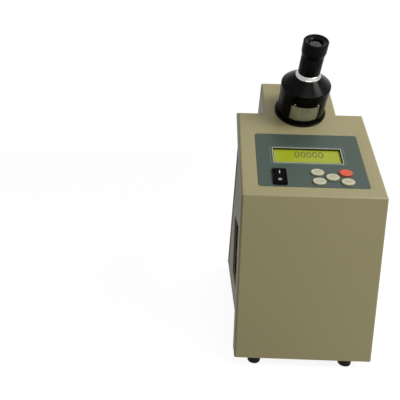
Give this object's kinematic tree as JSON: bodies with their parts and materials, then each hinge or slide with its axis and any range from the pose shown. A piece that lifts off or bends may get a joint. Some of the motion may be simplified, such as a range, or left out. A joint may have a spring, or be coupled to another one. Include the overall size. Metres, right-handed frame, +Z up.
{
  "type": "abbe refractometer",
  "caption": "Bench refractometer: wedge-shaped case with sloping display panel, tilted eyepiece with compensator wheel, side prism recess with hinged prisms and lamp, side handwheel.",
  "frame": {"origin": "centre of the bounding box's footprint, at the level of the feet's lower faces", "axes": "+Z up, -Y towards the user and the front face, +X to the user's right"},
  "size_m": [0.167, 0.33, 0.3666],
  "materials": {
    "beige_moulding": "fine moulded texture",
    "black_cover": "satin black",
    "base_steel": "black paint",
    "rubber": "matt",
    "screw_steel": "zinc plated",
    "panel_film": "printed film",
    "display_green": "yellow-green display glass",
    "dark_plastic": "satin",
    "key_cream": "satin",
    "key_orange": "satin",
    "switch_black": "gloss",
    "board_green": "solder mask",
    "bare_alloy": "machined",
    "jacket_metal": "satin plated",
    "knob_black": "satin",
    "optical_glass": "polished",
    "mirror_face": "front silvered",
    "eyepiece_black": "semi-gloss black",
    "bright_ring": "polished",
    "gear_brass": "cut",
    "shaft_steel": "ground"
  },
  "bodies": {
    "case": {"base_plate": "base_steel", "case_screws": "screw_steel", "display_glass": "display_green", "display_module": "dark_plastic", "encoder_reader": "dark_plastic", "eyepiece_base": "eyepiece_black", "eyepiece_cone": "eyepiece_black", "eyepiece_ring": "bright_ring", "eyepiece_sleeve": "eyepiece_black", "eyepiece_tube": "eyepiece_black", "fold_mirror": "mirror_face", "fold_mirror_mount": "bare_alloy", "handwheel_bush": "gear_brass", "housing": "beige_moulding", "inner_screws": "screw_steel", "keypad_board": "board_green", "lamp_post": "bare_alloy", "liner_bracket": "bare_alloy", "lower_jacket_fittings": "shaft_steel", "lower_prism_jacket": "jacket_metal", "main_board": "board_green", "mains_inlet": "dark_plastic", "measuring_prism": "optical_glass", "mechanism_bracket": "bare_alloy", "objective_and_reticle": "optical_glass", "panel_overlay": "panel_film", "power_supply": "dark_plastic", "rear_cover": "black_cover", "recess_liner": "dark_plastic", "rubber_feet": "rubber", "serial_port": "jacket_metal", "switch_bezel": "switch_black", "telescope_tube": "eyepiece_black"},
    "dispersion_drum": {"dispersion_wheel": "eyepiece_black", "upper_dispersion_prism": "optical_glass"},
    "lower_cell": {"lower_prism_cell": "gear_brass", "lower_dispersion_prism": "optical_glass"},
    "right_idler": {"idler_right": "gear_brass"},
    "left_idler": {"idler_left": "gear_brass"},
    "dioptre": {"dioptre_cap": "eyepiece_black", "eye_lenses": "optical_glass"},
    "side_wheel": {"handwheel": "knob_black", "handwheel_shaft": "shaft_steel"},
    "mirror_unit": {"mirror_shaft": "shaft_steel", "scanning_mirror": "mirror_face", "sector_wheel": "gear_brass", "encoder_disc": "bare_alloy"},
    "upper_jaw": {"upper_prism_jacket": "jacket_metal", "illuminating_prism": "optical_glass", "upper_hose_nipples": "shaft_steel"},
    "lock": {"locking_knob": "knob_black"},
    "lamp": {"lamp_arm": "jacket_metal", "lamp_barrel": "eyepiece_black", "lamp_lens": "optical_glass"},
    "rocker": {"switch_rocker": "switch_black"},
    "key_upper_left_cap": {"key_upper_left": "key_cream"},
    "key_upper_right_cap": {"key_upper_right": "key_orange"},
    "key_centre_cap": {"key_centre": "key_cream"},
    "key_lower_left_cap": {"key_lower_left": "key_cream"},
    "key_lower_right_cap": {"key_lower_right": "key_cream"}
  },
  "joints": [
    {"name": "key_upper_left_press", "type": "slide", "parent": "case", "child": "key_upper_left_cap", "axis": [0, 0.6428, -0.766], "range_m": [0, 0.0008], "stiffness_N_per_m": 700, "springref_m": -0.0004},
    {"name": "key_upper_right_press", "type": "slide", "parent": "case", "child": "key_upper_right_cap", "axis": [0, 0.6428, -0.766], "range_m": [0, 0.0008], "stiffness_N_per_m": 700, "springref_m": -0.0004},
    {"name": "key_centre_press", "type": "slide", "parent": "case", "child": "key_centre_cap", "axis": [0, 0.6428, -0.766], "range_m": [0, 0.0008], "stiffness_N_per_m": 700, "springref_m": -0.0004},
    {"name": "key_lower_left_press", "type": "slide", "parent": "case", "child": "key_lower_left_cap", "axis": [0, 0.6428, -0.766], "range_m": [0, 0.0008], "stiffness_N_per_m": 700, "springref_m": -0.0004},
    {"name": "key_lower_right_press", "type": "slide", "parent": "case", "child": "key_lower_right_cap", "axis": [0, 0.6428, -0.766], "range_m": [0, 0.0008], "stiffness_N_per_m": 700, "springref_m": -0.0004},
    {"name": "rocker_tip", "type": "hinge", "parent": "case", "child": "rocker", "pos_m": [-0.04205, -0.1437, 0.21351], "axis": [-1, 0, 0], "range_deg": [0, 18]},
    {"name": "dioptre_turn", "type": "hinge", "parent": "case", "child": "dioptre", "pos_m": [-0.0075, -0.11033, 0.34751], "axis": [0, -0.6428, 0.766], "range_deg": [-180, 180]},
    {"name": "dispersion_turn", "type": "hinge", "parent": "case", "child": "dispersion_drum", "pos_m": [-0.0075, -0.0589, 0.28623], "axis": [0, -0.6428, 0.766], "continuous": true},
    {"name": "lower_cell_turn", "type": "hinge", "parent": "case", "child": "lower_cell", "pos_m": [-0.0075, -0.04283, 0.26708], "axis": [0, -0.6428, 0.766], "continuous": true},
    {"name": "right_idler_turn", "type": "hinge", "parent": "case", "child": "right_idler", "pos_m": [0.0072, -0.05087, 0.27665], "axis": [1, 0, 0], "continuous": true},
    {"name": "left_idler_turn", "type": "hinge", "parent": "case", "child": "left_idler", "pos_m": [-0.0222, -0.05087, 0.27665], "axis": [-1, 0, 0], "continuous": true},
    {"name": "handwheel_turn", "type": "hinge", "parent": "case", "child": "side_wheel", "pos_m": [0.0665, 0.03898, 0.11145], "axis": [1, 0, 0], "range_deg": [-90, 90]},
    {"name": "mirror_turn", "type": "hinge", "parent": "case", "child": "mirror_unit", "pos_m": [-0.0075, 0.0697, 0.13296], "axis": [1, 0, 0], "range_deg": [-22.5, 22.5]},
    {"name": "upper_prism_open", "type": "hinge", "parent": "case", "child": "upper_jaw", "pos_m": [-0.036, -0.04, 0.085], "axis": [0, 1, 0], "range_deg": [0, 70]},
    {"name": "locking_knob_turn", "type": "hinge", "parent": "upper_jaw", "child": "lock", "pos_m": [-0.0715, -0.04, 0.093], "axis": [1, 0, 0], "range_deg": [0, 90]},
    {"name": "lamp_swing", "type": "hinge", "parent": "case", "child": "lamp", "pos_m": [-0.0335, -0.0805, 0.082], "axis": [0, -1, 0], "range_deg": [0, 57.6]}
  ],
  "couplings": [
    {"joint": "lower_cell_turn", "follows": "dispersion_turn", "ratio": -1},
    {"joint": "right_idler_turn", "follows": "dispersion_turn", "ratio": -3.2},
    {"joint": "left_idler_turn", "follows": "dispersion_turn", "ratio": -3.2},
    {"joint": "mirror_turn", "follows": "handwheel_turn", "ratio": -0.25}
  ]
}
